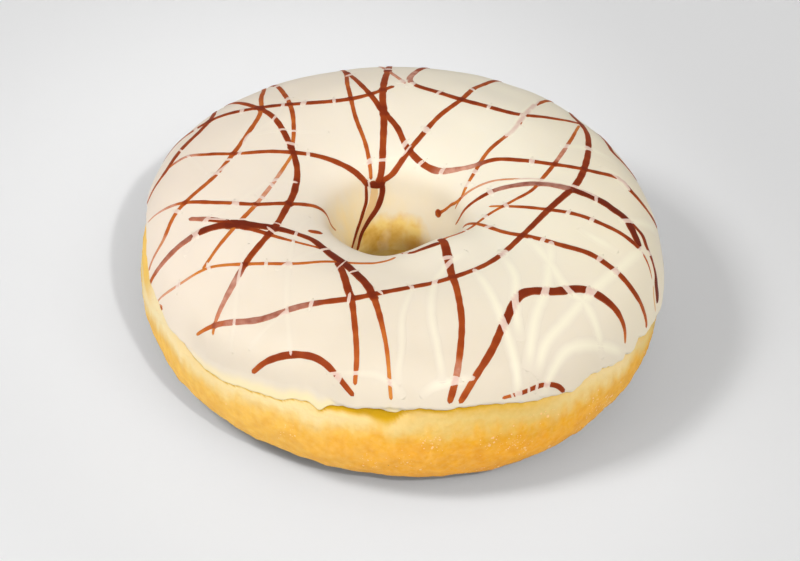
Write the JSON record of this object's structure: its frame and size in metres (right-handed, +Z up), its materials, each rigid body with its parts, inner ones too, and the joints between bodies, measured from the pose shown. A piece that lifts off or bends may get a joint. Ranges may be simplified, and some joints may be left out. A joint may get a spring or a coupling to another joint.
{
  "type": "iced ring doughnut",
  "caption": "Uncut ring doughnut of fried dough, with pale icing over the top and into the hole and thin brown drizzle strokes across the icing.",
  "frame": {"origin": "centre of the part's plan box, on the flat underside that it rests on", "axes": "+Z up, out of the iced top and along the hole; -Y towards the side that the picture shows nearest"},
  "size_m": [0.0929, 0.0939, 0.0329],
  "materials": {
    "dough": "soft fried crust, golden yellow, paler just under the icing and browner towards the base",
    "icing": "set cream-white icing with a satin sheen, and a dark brown drizzle on it"
  },
  "bodies": {
    "root": {"dough": "dough", "icing": "icing"}
  },
  "joints": []
}
